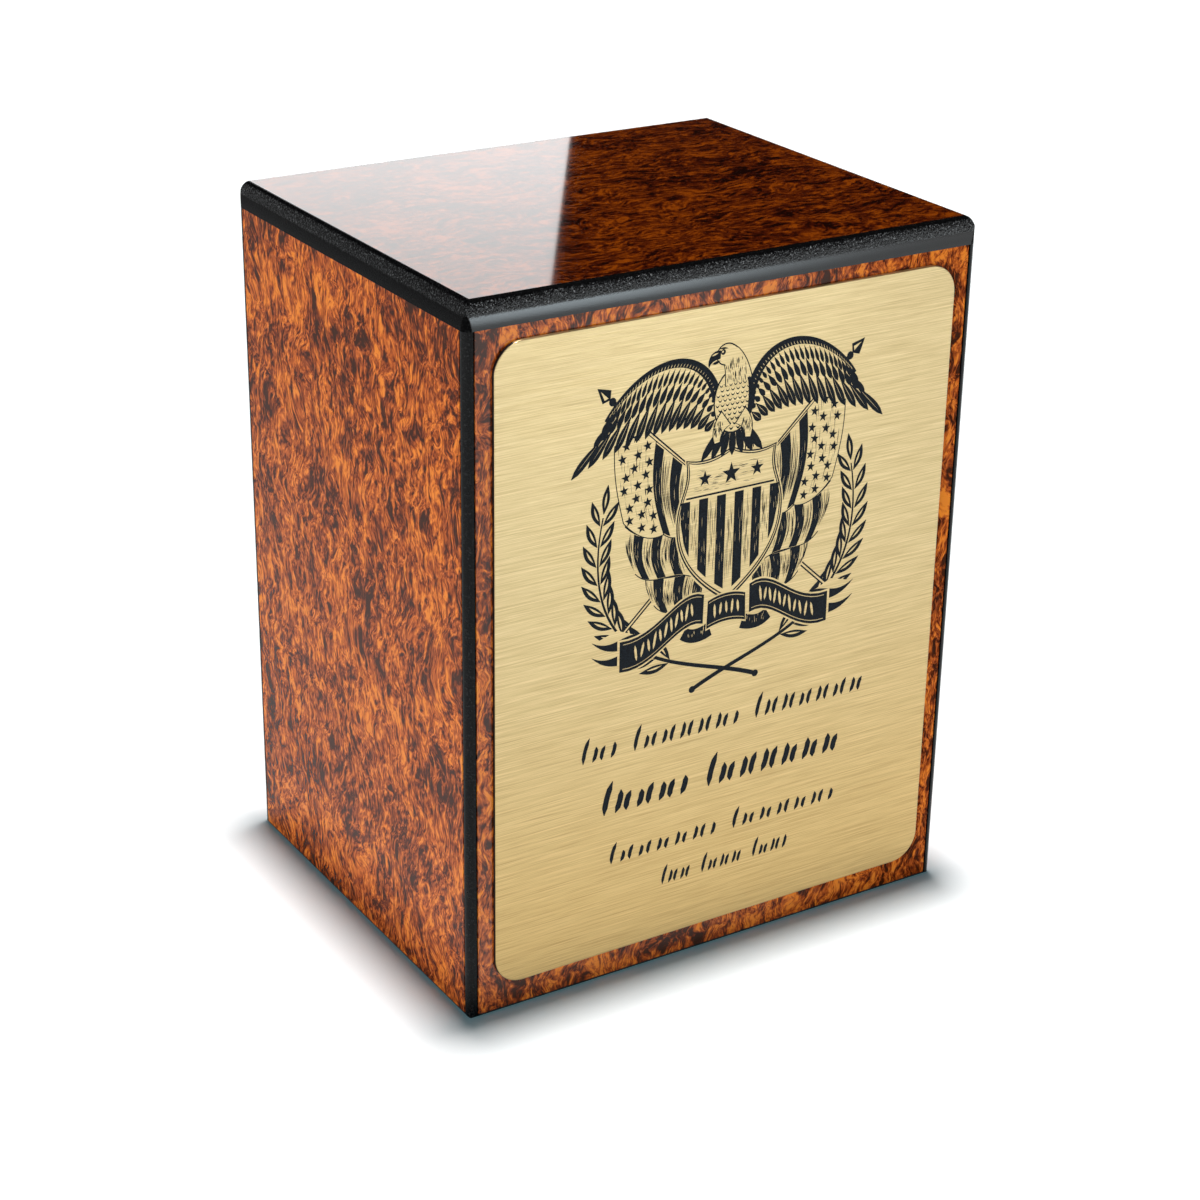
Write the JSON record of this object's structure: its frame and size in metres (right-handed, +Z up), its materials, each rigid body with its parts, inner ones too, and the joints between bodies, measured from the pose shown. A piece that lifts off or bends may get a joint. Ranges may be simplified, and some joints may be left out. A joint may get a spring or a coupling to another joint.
{
  "type": "cremation urn box",
  "caption": "Upright gloss-lacquered urn box in burl veneer with black rounded edges, a brushed brass name plate on its front and a screwed-in base panel.",
  "frame": {"origin": "middle of the underside, in the plane that the box stands on", "axes": "+Z up; the name plate faces -Y; +X is to the right of someone who faces the name plate"},
  "size_m": [0.168, 0.1392, 0.215],
  "materials": {
    "black_lacquer": "high-gloss black lacquer with a fine pebbled grain on fibreboard",
    "burl_veneer": "dark orange-brown burl under clear high-gloss lacquer",
    "plate_brass": "brushed along its width, satin",
    "plate_print": "flat blue-black ink printed on the brass",
    "base_panel": "satin black paint on fibreboard",
    "corner_block": "raw sawn softwood",
    "screw_brass": "brass plated, satin"
  },
  "bodies": {
    "root": {"front_board": "black_lacquer", "back_board": "black_lacquer", "left_board": "black_lacquer", "right_board": "black_lacquer", "top_board": "black_lacquer", "burl_veneer_front": "burl_veneer", "burl_veneer_back": "burl_veneer", "burl_veneer_left": "burl_veneer", "burl_veneer_right": "burl_veneer", "burl_veneer_top": "burl_veneer", "name_plate": "plate_brass", "base_panel": "base_panel", "corner_block_front_left": "corner_block", "corner_block_front_right": "corner_block", "corner_block_back_left": "corner_block", "corner_block_back_right": "corner_block", "base_screw_front_left": "screw_brass", "base_screw_front_right": "screw_brass", "base_screw_back_left": "screw_brass", "base_screw_back_right": "screw_brass"}
  },
  "joints": []
}
